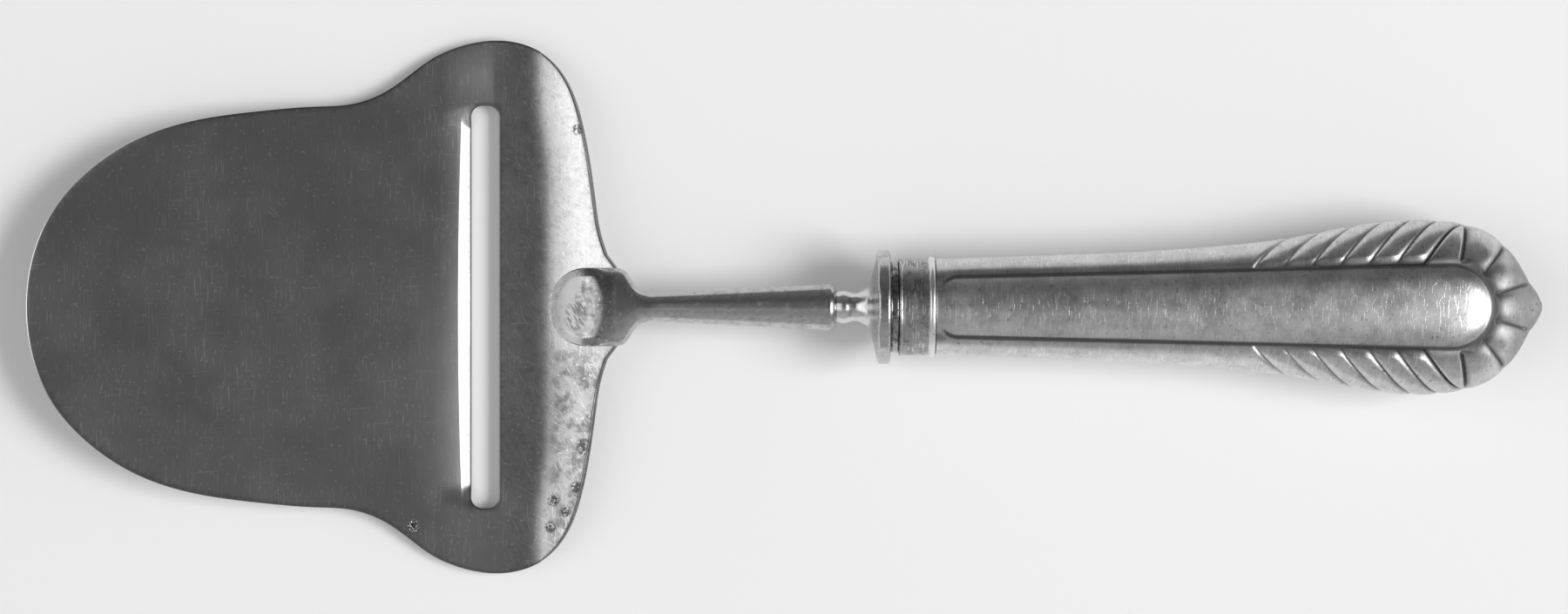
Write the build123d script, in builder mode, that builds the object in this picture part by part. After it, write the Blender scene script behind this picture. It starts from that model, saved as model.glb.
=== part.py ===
from build123d import *
from math import asin, cos, radians, sin, sqrt, tan
import os

# A cheese slicer with a steel blade and a hollow silver handle, in millimetres.
# +X runs from the blade's tip to the butt of the handle, +Y to the blade's left lobe,
# and +Z is up. The slicer lies as on a table, on its cutting edge and its butt, and
# the origin is under the middle of its length.

# Blade, along its length
paddle_length = 64.8        # tip to cutting edge
slot_width = 4.2
rear_length = 17.7          # slot to rear edge
rear_flat = 6.3             # level part behind the slot

# Blade, across and through
blade_width = 78.8
slot_length = 59.5
slot_corner = 1.7
sheet = 1.0
slice_height = 1.3          # level part above the cutting edge
paddle_slope = 6.0          # degrees
lip_slope = 12.0            # degrees
lip_run = 3.9               # bend from the paddle's slope to the lip's
bevel_length = 1.6
edge_land = 0.08
lip_fade = 3.7              # the lip runs out into the lobes over this width
rear_radius = 18.0

# Shank: tongue, flare, stem and tang
tongue_overlap = 10.4
tongue_width = 11.5
tongue_step = 0.45
facet_run = 5.6
facet_slope = 34.0          # degrees
heel_thickness = 0.62       # tongue above the blade's rear edge
flare_length = 4.9
neck_radius = 2.08
neck_height = 6.8
stem_length = 27.2
stem_radius = 3.5
shoulder_radius = 1.3
tang_radius = 1.9
tang_reach = 48.0           # into the handle
tang_clearance = 0.05

# Bolster
throat_length = 5.85
waist_radius = 2.15
waist_length = 2.5
bead_radius = 2.45
bead_length = 1.0
flare_radius = 5.0          # where the throat meets the flange
flange_radius = 8.35
flange_thickness = 1.95
flange_round = 0.8
boss_length = 1.3
boss_width = 13.3
boss_thickness = 12.3
spigot_radius = 4.4
spigot_length = 3.0

# Ferrule and its rim wire
ferrule_length = 5.25
ferrule_width = 14.3
ferrule_thickness = 12.9
ferrule_wall = 0.7
rim_wire = 0.85
rim_proud = 0.2

# Handle shells
handle_length = 88.85
handle_width = 26.0
handle_thickness = 17.0
shell_wall = 1.1
neck_wall = 0.8
front_wall = 1.0
neck_clearance = 0.05
cement_clearance = 0.1
groove_depth = 0.55
groove_width = 0.9

# Raised panel on both faces of the handle
panel_setback = 0.8
panel_length = 80.0
panel_front_width = 9.0
panel_back_width = 12.4
panel_corner = 2.4

# Ornament at the butt: slanted lobes on the rails, and a fan of ribs at the end
lobe_count = 7
lobe_start = 51.0           # from the handle's front
lobe_run = 26.0
lobe_groove_length = 7.0
lobe_slant = 35.0           # degrees
fan_count = 6
fan_angle = 84.0            # degrees, whole fan
fan_centre = 2.0            # from the butt's point
fan_groove_length = 7.0
fan_groove_start = 2.2

overrun = 5.0               # every cut runs past the solid by this much

# Places along the slicer
lengths = [paddle_length, slot_width, rear_length, flare_length, stem_length, throat_length,
           flange_thickness, boss_length, ferrule_length, handle_length]
overall_length = sum(lengths)
tip_x = -overall_length / 2
edge_x = tip_x + paddle_length
wall_x = edge_x + slot_width
rear_x = wall_x + rear_length
neck_x = rear_x + flare_length
stem_end_x = neck_x + stem_length
flange_x = stem_end_x + throat_length
boss_x = flange_x + flange_thickness
ferrule_x = boss_x + boss_length
handle_x = ferrule_x + ferrule_length
butt_x = handle_x + handle_length
axis_height = handle_thickness / 2

# Outline of the blade, from the tip to the rear edge:
# share of the blade's length, and share of half its width
blade_shares = [(0.041, 0.347), (0.100, 0.500), (0.189, 0.630), (0.280, 0.696), (0.396, 0.734),
                (0.480, 0.750), (0.543, 0.760), (0.602, 0.808), (0.679, 0.929), (0.750, 0.990),
                (0.797, 1.000), (0.868, 0.955), (0.915, 0.841), (0.939, 0.695), (0.963, 0.383),
                (0.972, 0.270), (0.983, 0.195)]

# Side of the flare from tongue to neck: share of its length, and share of the tongue that is left
flare_shares = [(0.0, 1.0), (0.16, 0.93), (0.32, 0.72), (0.5, 0.36), (0.7, 0.12), (1.0, 0.0)]

# Rounding of the flare's sides as a share of its height there, of the bead's rims as a share of
# its height over the waist, and of the rim wire as a share of its length
flare_round_share = 0.48
bead_round_share = 0.9
rim_round_share = 0.4

# Handle: share of its length, and share of its growth from the ferrule's size to its own
growth_shares = [(0.0, 0.0), (0.18, 0.09), (0.33, 0.18), (0.47, 0.33), (0.59, 0.55),
                 (0.67, 0.78), (0.73, 0.92), (0.79, 1.0)]
# Handle's end: share of its length, and share of its own size
butt_shares = [(0.847, 0.975), (0.905, 0.87), (0.948, 0.64), (0.977, 0.34), (0.991, 0.18), (1.0, 0.05)]
section_count = 18
# The hollow stops short of the pointed end
hollow_end_share = 0.95


def rear_rise(x, radius):
    """Height that the bend behind the slot adds at x."""
    run = max(x - wall_x - rear_flat, 0)
    return radius - sqrt(radius ** 2 - run ** 2)


def plate_knots(lip):
    """Underside of the plate, tip to bend: x, height, slope in, slope out and thickness upward.

    With lip it is the strip that is bent down to the cutting edge, and without lip it is a lobe,
    where the plate steps up to the level part behind the slot.
    """
    paddle = -tan(radians(paddle_slope))
    down = -tan(radians(lip_slope))
    bevel_x = edge_x - bevel_length
    bend_x = bevel_x - lip_run
    step_x = wall_x - slot_width / 2
    bend_z = (lip_run * (tan(radians(paddle_slope)) - down) / 2) - down * bevel_length
    start_x = tip_x - overrun
    start_z = bend_z + (start_x - bend_x) * paddle
    full = sheet / cos(radians(paddle_slope))
    knots = [(start_x, start_z, paddle, paddle, full), (bend_x, bend_z, paddle, paddle, full)]
    if lip:
        lean = sheet / cos(radians(lip_slope))
        knots += [(bevel_x, -down * bevel_length, down, down, lean), (edge_x, 0, down, 0, edge_land)]
    else:
        low_z = step_height(bevel_x, bend_x, bend_z, step_x)
        high_z = step_height(edge_x, bend_x, bend_z, step_x)
        climb = (high_z - low_z) / bevel_length
        lean = sheet * sqrt(1 + climb ** 2)
        knots += [(bevel_x, low_z, climb, climb, lean), (edge_x, high_z, climb, climb, lean)]
    level_x = wall_x + rear_flat
    knots += [(step_x, slice_height, 0, 0, sheet), (level_x, slice_height, 0, 0, sheet)]
    return knots


def step_height(x, bend_x, bend_z, step_x):
    """Height at x on the smooth step of a lobe, from the paddle up to the level part."""
    run = step_x - bend_x
    u = (x - bend_x) / run
    sag = tan(radians(paddle_slope)) * run * u * (1 - u) ** 2
    return bend_z - sag + (slice_height - bend_z) * u * u * (3 - 2 * u)


def plate_line(knots, top):
    """Lines and curves by turns through the knots, along the plate's underside or its top."""
    for turn, (start, end) in enumerate(zip(knots, knots[1:])):
        x0, z0, _, out, t0 = start
        x1, z1, into, _, t1 = end
        if top:
            z0, z1 = z0 + t0, z1 + t1
        run = (x1 - x0) / 3
        if turn % 2:
            Bezier((x0, z0), (x0 + run, z0 + run * out), (x1 - run, z1 - run * into), (x1, z1))
        else:
            Line((x0, z0), (x1, z1))


def bend_arc(x0, x1, radius, height):
    """Arc of the bend behind the slot, from x0 to x1."""
    centre = (wall_x + rear_flat, height + radius)
    turns = [90 - asin((x - centre[0]) / radius) / radians(1) for x in (x0, x1)]
    CenterArc(centre, radius, -turns[0], turns[0] - turns[1])


# Blade: one bent sheet, cut to its outline, with the slot cut through
plate_top = slice_height + sheet
half_slot = slot_length / 2
past_rear_x = rear_x + overrun / 2
stations = [(-blade_width / 2 - overrun, False), (-half_slot, False), (lip_fade - half_slot, True),
            (half_slot - lip_fade, True), (half_slot, False), (blade_width / 2 + overrun, False)]

plate_sections = []
for y, lip in stations:
    knots = plate_knots(lip)
    level_x = knots[-1][0]
    start_x, start_z, start_t = knots[0][0], knots[0][1], knots[0][4]
    rear_low_z = slice_height + rear_rise(past_rear_x, rear_radius + sheet)
    rear_high_z = plate_top + rear_rise(past_rear_x, rear_radius)
    with BuildLine(Plane.XZ.offset(-y)) as side_line:
        plate_line(knots, top=False)
        bend_arc(level_x, past_rear_x, rear_radius + sheet, slice_height)
        Line((past_rear_x, rear_low_z), (past_rear_x, rear_high_z))
        bend_arc(level_x, past_rear_x, rear_radius, plate_top)
        plate_line(knots, top=True)
        Line((start_x, start_z + start_t), (start_x, start_z))
    plate_sections.append(Face(side_line.wire()))

with BuildPart() as blade_plate:
    loft(sections=plate_sections, ruled=True)
    with BuildSketch(Plane.XY.offset(-overrun)):
        with BuildLine():
            side = [(tip_x + (rear_x - tip_x) * along, blade_width / 2 * out) for along, out in blade_shares]
            other_side = [(x, -y) for x, y in reversed(side)]
            outline = Spline(*other_side, (tip_x, 0), *side)
            Polyline(outline @ 1, (rear_x, tongue_width / 2), (rear_x, -tongue_width / 2), outline @ 0)
        make_face()
    extrude(amount=handle_thickness + 2 * overrun, mode=Mode.INTERSECT)
    with BuildSketch(Plane(origin=((edge_x + wall_x) / 2, 0, -overrun))):
        RectangleRounded(slot_width, slot_length, slot_corner)
    extrude(amount=handle_thickness, mode=Mode.SUBTRACT)
blade_plate.part.label = "blade_plate"

# Shank: a tongue that lies on the blade, flaring into a tapered stem with a tang
tongue_x = rear_x - tongue_overlap
facet_x = tongue_x + facet_run
tongue_z = plate_top + rear_rise(tongue_x, rear_radius) + tongue_step
facet_z = tongue_z + facet_run * tan(radians(facet_slope))
heel_low_z = plate_top + rear_rise(rear_x, rear_radius)
heel_z = heel_low_z + heel_thickness
stem_line = Vector(stem_end_x - neck_x, 0, axis_height - neck_height)
stem_plane = Plane(origin=(neck_x, 0, neck_height), x_dir=stem_line, z_dir=(0, -1, 0))
stem_reach = stem_line.length
stem_lean = stem_line.Z / stem_line.X

with BuildPart() as shank:
    with BuildSketch(Plane.XZ.offset(-tongue_width / 2)):
        with BuildLine():
            bend_arc(tongue_x, rear_x, rear_radius, plate_top)
            Polyline((rear_x, heel_low_z), (rear_x, heel_z), (facet_x, facet_z),
                     (tongue_x, tongue_z), (tongue_x, tongue_z - tongue_step))
        make_face()
    extrude(amount=tongue_width)
    with BuildSketch(Plane.XY):
        with BuildLine():
            half = tongue_width / 2
            bow = ThreePointArc((tongue_x + half, half), (tongue_x, 0), (tongue_x + half, -half))
            Polyline(bow @ 1, (rear_x, -half), (rear_x, half), bow @ 0)
        make_face()
    extrude(amount=handle_thickness, mode=Mode.INTERSECT)
    for along, left in flare_shares:
        width = 2 * (neck_radius + (tongue_width / 2 - neck_radius) * left)
        high_z = heel_z + (neck_height + neck_radius - heel_z) * along
        low_z = neck_height - neck_radius + (heel_low_z - neck_height + neck_radius) * left
        tall = high_z - low_z
        with BuildSketch(Plane(origin=(rear_x + flare_length * along, 0, (high_z + low_z) / 2),
                               x_dir=(0, 1, 0), z_dir=(1, 0, stem_lean * along))):
            RectangleRounded(width, tall, tall * flare_round_share)
    loft()
    with BuildSketch(stem_plane):
        with BuildLine():
            Polyline((0, neck_radius), (0, 0), (stem_reach, 0), (stem_reach, stem_radius), close=True)
        make_face()
        end_corner = vertices().group_by(Axis.X)[-1].sort_by(Axis.Y)[-1]
        fillet(end_corner, shoulder_radius)
    revolve(axis=Axis((neck_x, 0, neck_height), stem_line))
    split(bisect_by=Plane.YZ.offset(stem_end_x), keep=Keep.BOTTOM)
    with BuildSketch(Plane(origin=(stem_end_x - shoulder_radius, 0, axis_height),
                           x_dir=(0, 1, 0), z_dir=(1, 0, 0))):
        Circle(tang_radius)
    extrude(amount=handle_x + tang_reach - stem_end_x + shoulder_radius)
shank.part.label = "shank"

# Bolster: turned throat and flange, with a flattened boss and a spigot inside the ferrule
axle = Axis((0, 0, axis_height), (1, 0, 0))
bead_x = stem_end_x + (waist_length - bead_length) / 2


def across(x):
    """Plane square to the handle's axis at x, with its local X across and local Y up."""
    return Plane(origin=(x, 0, axis_height), x_dir=(0, 1, 0), z_dir=(1, 0, 0))


with BuildPart() as bolster:
    with BuildSketch(Plane.XZ):
        with BuildLine():
            waist = axis_height + waist_radius
            throat = Spline((stem_end_x + waist_length, waist), (flange_x, axis_height + flare_radius),
                            tangents=[(1, 0), (0.35, 1)])
            Polyline(throat @ 0, (stem_end_x, waist), (stem_end_x, axis_height), (flange_x, axis_height),
                     throat @ 1)
        make_face()
    revolve(axis=axle)
    with BuildSketch(across(bead_x)):
        Circle(bead_radius)
    extrude(amount=bead_length)
    bead_rims = edges().filter_by(GeomType.CIRCLE).filter_by(lambda e: e.radius == bead_radius)
    fillet(bead_rims, (bead_radius - waist_radius) * bead_round_share)
    with BuildSketch(across(flange_x)):
        Circle(flange_radius)
    extrude(amount=flange_thickness)
    flange_rims = edges().filter_by(GeomType.CIRCLE).filter_by(lambda e: e.radius == flange_radius)
    fillet(flange_rims, flange_round)
    with BuildSketch(across(boss_x)):
        Ellipse(boss_width / 2, boss_thickness / 2)
    extrude(amount=boss_length)
    with BuildSketch(across(ferrule_x)):
        Circle(spigot_radius)
    extrude(amount=spigot_length)
    with BuildSketch(across(stem_end_x)):
        Circle(tang_radius + tang_clearance)
    extrude(amount=ferrule_x + spigot_length - stem_end_x, mode=Mode.SUBTRACT)
bolster.part.label = "bolster"

# Ferrule: oval band, and the rim wire behind it
rim_x = handle_x - rim_wire

with BuildPart() as ferrule:
    with BuildSketch(across(ferrule_x)):
        Ellipse(ferrule_width / 2, ferrule_thickness / 2)
        Ellipse(ferrule_width / 2 - ferrule_wall, ferrule_thickness / 2 - ferrule_wall, mode=Mode.SUBTRACT)
    extrude(amount=ferrule_length - rim_wire)
ferrule.part.label = "ferrule"

with BuildPart() as ferrule_rim:
    with BuildSketch(across(rim_x)):
        Ellipse(ferrule_width / 2 + rim_proud, ferrule_thickness / 2 + rim_proud)
        Ellipse(ferrule_width / 2 - ferrule_wall, ferrule_thickness / 2 - ferrule_wall, mode=Mode.SUBTRACT)
    extrude(amount=rim_wire)
    outer_rims = edges().filter_by(GeomType.ELLIPSE).group_by(SortBy.LENGTH)[-1]
    fillet(outer_rims, rim_wire * rim_round_share)
ferrule_rim.part.label = "ferrule_rim"


# Half width and half thickness of the handle along its length, as one curve of x, width, thickness
full = Vector(0, handle_width / 2, handle_thickness / 2)
front = Vector(0, ferrule_width / 2, ferrule_thickness / 2)
sizes = [front + (full - front) * grown for _, grown in growth_shares]
sizes += [full * left for _, left in butt_shares]
places = [handle_x + handle_length * along for along, _ in growth_shares + butt_shares]
with BuildLine() as handle_side:
    Spline(*[size + Vector(x, 0, 0) for x, size in zip(places, sizes)])


def handle_sections(inset, first_x, last_x):
    """Oval sections of the handle between two places, drawn in by inset, closer towards the butt."""
    sections = []
    for step in range(section_count):
        size = handle_side.line @ sin(radians(90) * step / (section_count - 1))
        x = max(size.X, first_x)
        if x <= last_x:
            with BuildSketch(across(x)) as oval:
                Ellipse(size.Y - inset, size.Z - inset)
            sections.append(oval.sketch)
    return sections


def neck_oval(inset):
    """Oval of the shells' neck inside the ferrule, drawn in by inset."""
    snug = ferrule_wall + neck_clearance + inset
    Ellipse(ferrule_width / 2 - snug, ferrule_thickness / 2 - snug)


# Hollow inside the handle, and the body that lies under all the grooves of its upper half
seam = Plane.XY.offset(axis_height)
hollow_x = handle_x + front_wall
hollow_end_x = handle_x + handle_length * hollow_end_share

with BuildPart() as hollow:
    loft(sections=handle_sections(shell_wall, hollow_x, hollow_end_x), ruled=True)
    with BuildSketch(across(ferrule_x)):
        neck_oval(neck_wall)
    extrude(amount=ferrule_length + front_wall + neck_wall)

with BuildPart() as under_grooves:
    end_x = handle_x + handle_length * butt_shares[-2][0]
    loft(sections=handle_sections(groove_depth, handle_x, end_x), ruled=True)
    split(bisect_by=seam, keep=Keep.TOP)

# Groove round the raised panel
panel_x = handle_x + panel_setback
panel_end_x = panel_x + panel_length
front_half = panel_front_width / 2
back_half = panel_back_width / 2
cut_height = handle_thickness + overrun

with BuildSketch() as panel:
    with BuildLine():
        front_edge = Line((panel_x, 0), (panel_x, front_half - panel_corner))
        turn = TangentArc(front_edge @ 1, (panel_x + panel_corner, front_half), tangent=(0, 1))
        Line(turn @ 1, (panel_end_x - back_half, back_half))
        CenterArc((panel_end_x - back_half, 0), back_half, 0, 90)
        mirror(about=Plane.XZ)
    make_face()

with BuildPart() as panel_groove:
    with BuildSketch(seam):
        offset(panel.sketch, amount=groove_width / 2)
        offset(panel.sketch, amount=-groove_width / 2, mode=Mode.SUBTRACT)
    extrude(amount=cut_height)
    add(under_grooves.part, mode=Mode.SUBTRACT, clean=False)

# Slanted grooves between the lobes of both rails
with BuildPart() as lobe_grooves:
    with BuildSketch(seam):
        for side in (-1, 1):
            for step in range(lobe_count):
                lobe_x = handle_x + lobe_start + lobe_run * step / (lobe_count - 1)
                lobe_y = side * (back_half + lobe_groove_length / 2)
                with Locations(Location((lobe_x, lobe_y, 0), (0, 0, side * (90 - lobe_slant)))):
                    SlotOverall(lobe_groove_length + groove_width, groove_width)
    extrude(amount=cut_height)
    add(under_grooves.part, mode=Mode.SUBTRACT, clean=False)

# Fan of grooves at the butt, spreading from its point towards the panel
with BuildPart() as fan_grooves:
    with BuildSketch(seam):
        with Locations((butt_x - fan_centre, 0)):
            with PolarLocations(fan_groove_start + fan_groove_length / 2, fan_count,
                                180 - fan_angle / 2, fan_angle, endpoint=True):
                SlotOverall(fan_groove_length, groove_width)
    extrude(amount=cut_height)
    add(under_grooves.part, mode=Mode.SUBTRACT, clean=False)

# Handle shells: two stamped halves that meet at the seam, each with half of the neck
with BuildPart() as handle_shell_top:
    loft(sections=handle_sections(0, handle_x, butt_x), ruled=True)
    with BuildSketch(across(ferrule_x)):
        neck_oval(0)
    extrude(amount=ferrule_length)
    split(bisect_by=seam, keep=Keep.TOP)
    for cut in (hollow, panel_groove, fan_grooves, lobe_grooves):
        add(cut.part, mode=Mode.SUBTRACT, clean=False)
handle_shell_top.part.label = "handle_shell_top"

with BuildPart() as handle_shell_bottom:
    mirror(handle_shell_top.part, about=seam)
handle_shell_bottom.part.label = "handle_shell_bottom"

# Filler: the cement that fills the shells and holds the tang
with BuildPart() as filler_core:
    loft(sections=handle_sections(shell_wall + cement_clearance, hollow_x + cement_clearance,
                                  hollow_end_x - cement_clearance), ruled=True)
    with BuildSketch(across(ferrule_x + spigot_length)):
        neck_oval(neck_wall + cement_clearance)
    extrude(amount=ferrule_length + front_wall - spigot_length + neck_wall)
    with BuildSketch(across(ferrule_x)):
        Circle(tang_radius + tang_clearance)
    extrude(amount=ferrule_length + tang_reach, mode=Mode.SUBTRACT)
filler_core.part.label = "filler_core"

os.makedirs("parts", exist_ok=True)
for piece in (blade_plate, shank, bolster, ferrule, ferrule_rim, handle_shell_top,
              handle_shell_bottom, filler_core):
    export_step(piece.part, f"parts/{piece.part.label}.step")
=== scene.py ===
from math import cos, hypot, pi, radians, sin, sqrt, tan

import bmesh
import bpy
import numpy as np
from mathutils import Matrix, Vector, geometry


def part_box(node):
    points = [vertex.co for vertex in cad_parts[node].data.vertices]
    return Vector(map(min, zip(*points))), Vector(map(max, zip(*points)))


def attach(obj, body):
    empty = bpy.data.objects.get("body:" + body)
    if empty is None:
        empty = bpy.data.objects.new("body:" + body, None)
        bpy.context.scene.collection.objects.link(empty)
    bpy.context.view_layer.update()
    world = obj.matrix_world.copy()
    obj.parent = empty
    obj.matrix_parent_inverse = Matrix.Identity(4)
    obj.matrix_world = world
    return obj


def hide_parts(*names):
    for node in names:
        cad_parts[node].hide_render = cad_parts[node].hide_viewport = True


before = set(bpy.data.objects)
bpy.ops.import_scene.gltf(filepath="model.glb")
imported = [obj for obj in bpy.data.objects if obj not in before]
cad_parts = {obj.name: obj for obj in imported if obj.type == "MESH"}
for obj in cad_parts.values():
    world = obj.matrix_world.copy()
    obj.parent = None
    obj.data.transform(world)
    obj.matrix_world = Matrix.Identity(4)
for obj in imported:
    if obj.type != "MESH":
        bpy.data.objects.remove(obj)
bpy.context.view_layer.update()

# The slicer lies along X, from the blade's tip to the butt of the handle, with +Z up.
# Sizes are in metres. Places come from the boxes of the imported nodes.
blade_low, blade_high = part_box("blade_plate")
shank_low, shank_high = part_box("shank")
ferrule_low, ferrule_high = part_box("ferrule")
rim_low, rim_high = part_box("ferrule_rim")
shell_low, shell_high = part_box("handle_shell_top")

tip_x = blade_low.x
rear_x = blade_high.x
half_blade = blade_high.y
axis_z = shell_low.z
handle_x = rim_high.x
butt_x = shell_high.x

# Points closer than this are one point
merge_gap = 1e-7

# Blade, with the sizes of its sheet metal
slot_width = 0.0042
half_slot = 0.02975
slot_corner = 0.0017
rear_length = 0.0177
rear_flat = 0.0063
rear_radius = 0.018
rear_turn = radians(26.4)
bend_lead = 0.001
lobe_lead = 0.0016
lobe_lead_y = (0.018, 0.034)
sheet = 0.001
slice_height = 0.0013
paddle_slope = tan(radians(6))
lip_slope = tan(radians(12))
lip_run = 0.0039
lip_fade = 0.0037
ease_run = 0.0025
bevel_length = 0.0016
bevel_reach = 0.0019
bevel_bow_share = 0.3
grind_slope = tan(radians(25))
cut_fade = 0.003
rim_round = 0.00012
rim_bow = 0.3
rim_guard = 0.0001
slot_step = 0.0006
lobe_y = 0.025

wall_x = rear_x - rear_length
edge_x = wall_x - slot_width
slot_middle_x = (edge_x + wall_x) / 2
level_x = wall_x + rear_flat
bevel_x = edge_x - bevel_length
bend_x = bevel_x - lip_run
bend_z = lip_run * (paddle_slope + lip_slope) / 2 + lip_slope * bevel_length

# Outline of the blade, from the tip to the rear edge:
# share of its length, and share of half its width
blade_shares = [(0.041, 0.347), (0.100, 0.500), (0.189, 0.630), (0.280, 0.696), (0.396, 0.734),
                (0.480, 0.750), (0.543, 0.760), (0.602, 0.808), (0.679, 0.929), (0.750, 0.990),
                (0.797, 1.000), (0.868, 0.955), (0.915, 0.841), (0.939, 0.695), (0.963, 0.383),
                (0.972, 0.270), (0.983, 0.195)]

# Shank
tongue_x = shank_low.x
half_tongue = shank_high.y
tongue_step = 0.00045
facet_run = 0.0065
facet_slope = tan(radians(42))
heel_thickness = 0.0026
rim_width = 0.0013
rim_slope = tan(radians(24))
dome_power = 2.6
edge_round = 0.00012
facet_blend = 0.0017
flare_length = 0.0049
neck_radius = 0.00208
neck_z = 0.007
stem_radius = 0.0035
stem_length = 0.0272
stem_flatness = 0.84
shoulder_radius = 0.0013
tang_radius = 0.0019

neck_x = rear_x + flare_length
stem_end_x = neck_x + stem_length

# Side of the flare: share of its length, and share of the tongue that is left
flare_shares = [(0.0, 1.0), (0.16, 0.93), (0.32, 0.72), (0.5, 0.36), (0.7, 0.12), (1.0, 0.0)]

# Handle: share of its length, and share of its growth from the ferrule's size to its own
growth_shares = [(0.0, 0.0), (0.18, 0.09), (0.33, 0.18), (0.47, 0.33), (0.59, 0.55),
                 (0.67, 0.78), (0.73, 0.92), (0.79, 1.0)]
# Handle's end: share of its length, and share of its own size
butt_shares = [(0.847, 0.975), (0.905, 0.87), (0.948, 0.64), (0.977, 0.34), (0.991, 0.18), (1.0, 0.05)]


def smooth_line(points, count):
    """Evenly spaced points along a smooth curve through the given ones."""
    knots = np.array(points, float)
    steps = np.linalg.norm(np.diff(knots, axis=0), axis=1)
    places = np.concatenate([[0], np.cumsum(steps)])
    last = len(knots) - 1
    system = np.eye(len(knots))
    pull = np.zeros(knots.shape)
    for i in range(1, last):
        system[i, i - 1:i + 2] = steps[i - 1], 2 * (steps[i - 1] + steps[i]), steps[i]
        pull[i] = 6 * ((knots[i + 1] - knots[i]) / steps[i] - (knots[i] - knots[i - 1]) / steps[i - 1])
    bend = np.linalg.solve(system, pull)
    along = np.linspace(0, 1, count) * places[-1]
    i = np.clip(np.searchsorted(places, along, side="right") - 1, 0, last - 1)
    h = steps[i][:, None]
    u = (along - places[i])[:, None]
    start = (knots[i] / h - bend[i] * h / 6) * (h - u) + bend[i] * (h - u) ** 3 / (6 * h)
    return start + (knots[i + 1] / h - bend[i + 1] * h / 6) * u + bend[i + 1] * u ** 3 / (6 * h)


def smooth_step(value):
    """0 below 0, 1 above 1 and a soft rise between them."""
    value = np.clip(value, 0, 1)
    return value * value * (3 - 2 * value)


def soft_min(a, b, width):
    """The smaller of a and b, rounded over the given width where they meet."""
    blend = np.clip(0.5 + (b - a) / (2 * width), 0, 1)
    return b + (a - b) * blend - width * blend * (1 - blend)


def add_piece(name, vertices, faces):
    """A smooth mesh object."""
    mesh = bpy.data.meshes.new(name)
    mesh.from_pydata([tuple(v) for v in vertices], [], [tuple(f) for f in faces])
    mesh.validate()
    mesh.shade_smooth()
    piece = bpy.data.objects.new(name, mesh)
    bpy.context.collection.objects.link(piece)
    return piece


def mark(piece, kind, values):
    """Keeps a number at each vertex for the finish: how near its border is, where edges get painted shade, or
    how deep a recess, where tarnish and painted shade go.
    """
    layer = piece.data.attributes.new(kind, "FLOAT", "POINT")
    layer.data.foreach_set("value", np.asarray(values, np.float32).reshape(-1))


def turn_outwards(piece):
    """Merges doubles, then makes every face point outwards."""
    form = bmesh.new()
    form.from_mesh(piece.data)
    bmesh.ops.remove_doubles(form, verts=form.verts, dist=merge_gap)
    bmesh.ops.dissolve_degenerate(form, edges=form.edges, dist=merge_gap / 10)
    bmesh.ops.recalc_face_normals(form, faces=form.faces)
    form.to_mesh(piece.data)
    form.free()


def tube(name, rings, sharp_angle, kind, values):
    """A closed mesh over rings of points, flat at either end, with its marks for the finish."""
    count, around = rings.shape[:2]
    corner = np.arange(count * around).reshape(count, around)
    here, after = corner[:-1], corner[1:]
    faces = np.stack([here, np.roll(here, -1, 1), np.roll(after, -1, 1), after], -1).reshape(-1, 4)
    faces = [tuple(face) for face in faces] + [tuple(corner[0][::-1]), tuple(corner[-1])]
    piece = add_piece(name, rings.reshape(-1, 3), faces)
    mark(piece, kind, values)
    turn_outwards(piece)
    piece.data.set_sharp_from_angle(angle=sharp_angle)
    return piece


class Nodes:
    """The nodes of one tree: a finish, the surroundings or a turned form."""

    def __init__(self, tree):
        self.tree = tree

    def add(self, kind, inputs=None, **settings):
        """A node with the given inputs, sockets or values, and settings."""
        node = self.tree.nodes.new(kind)
        for key, value in settings.items():
            setattr(node, key, value)
        for key, value in (inputs or {}).items():
            if isinstance(value, bpy.types.NodeSocket):
                self.tree.links.new(value, node.inputs[key])
            else:
                node.inputs[key].default_value = value
        return node

    def joined(self, operation, first, *others):
        """Sockets and numbers joined in turn by one operation."""
        for other in others:
            first = self.add("ShaderNodeMath", {0: first, 1: other}, operation=operation).outputs[0]
        return first

    def times(self, *values):
        return self.joined("MULTIPLY", *values)

    def total(self, *values):
        return self.joined("ADD", *values)

    def most(self, *values):
        return self.joined("MAXIMUM", *values)

    def ramp(self, value, low, high, to_low=0.0, to_high=1.0):
        """Soft change from to_low to to_high while value goes from low to high."""
        return self.add("ShaderNodeMapRange", {"Value": value, "From Min": low, "From Max": high,
                                               "To Min": to_low, "To Max": to_high},
                        interpolation_type="SMOOTHSTEP").outputs["Result"]


# Blade

def rear_rise(past, radius):
    """Climb of the rear bend: an arc of the given radius that runs out into a straight slope."""
    past = np.clip(past, 0, None)
    turned = np.minimum(past, radius * sin(rear_turn))
    return radius - np.sqrt(radius ** 2 - turned ** 2) + (past - turned) * tan(rear_turn)


def bend_start(y):
    """Place where the rear bend starts, which is further ahead at the lobes."""
    start, end = lobe_lead_y
    return level_x - bend_lead - lobe_lead * smooth_step((np.abs(y) - start) / (end - start))


def lobe_height(x, y):
    """Underside of the plate along a line through a lobe, beside the slot."""
    ease = np.clip((x - bend_x) / ease_run, 0, 1)
    u = np.clip((x - bend_x) / (level_x - bend_lead - bend_x), 0, 1)
    dip = paddle_slope * ease_run * (ease - ease ** 2 + ease ** 3 / 3)
    climb = slice_height - bend_z + paddle_slope * ease_run / 3
    paddle = -np.clip(x - bend_x, None, 0) * paddle_slope
    bend = rear_rise(x - bend_start(y), rear_radius + sheet)
    return bend_z + paddle - dip + climb * u * u * (3 - 2 * u) + bend


def lip_height(x):
    """Underside of the plate along a line that ends at the cutting edge."""
    past = np.clip(x - bend_x, 0, lip_run)
    bend = bend_z - paddle_slope * past - (lip_slope - paddle_slope) * past ** 2 / (2 * lip_run)
    paddle = -np.clip(x - bend_x, None, 0) * paddle_slope
    return bend + paddle - np.clip(x - bevel_x, 0, None) * lip_slope


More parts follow.
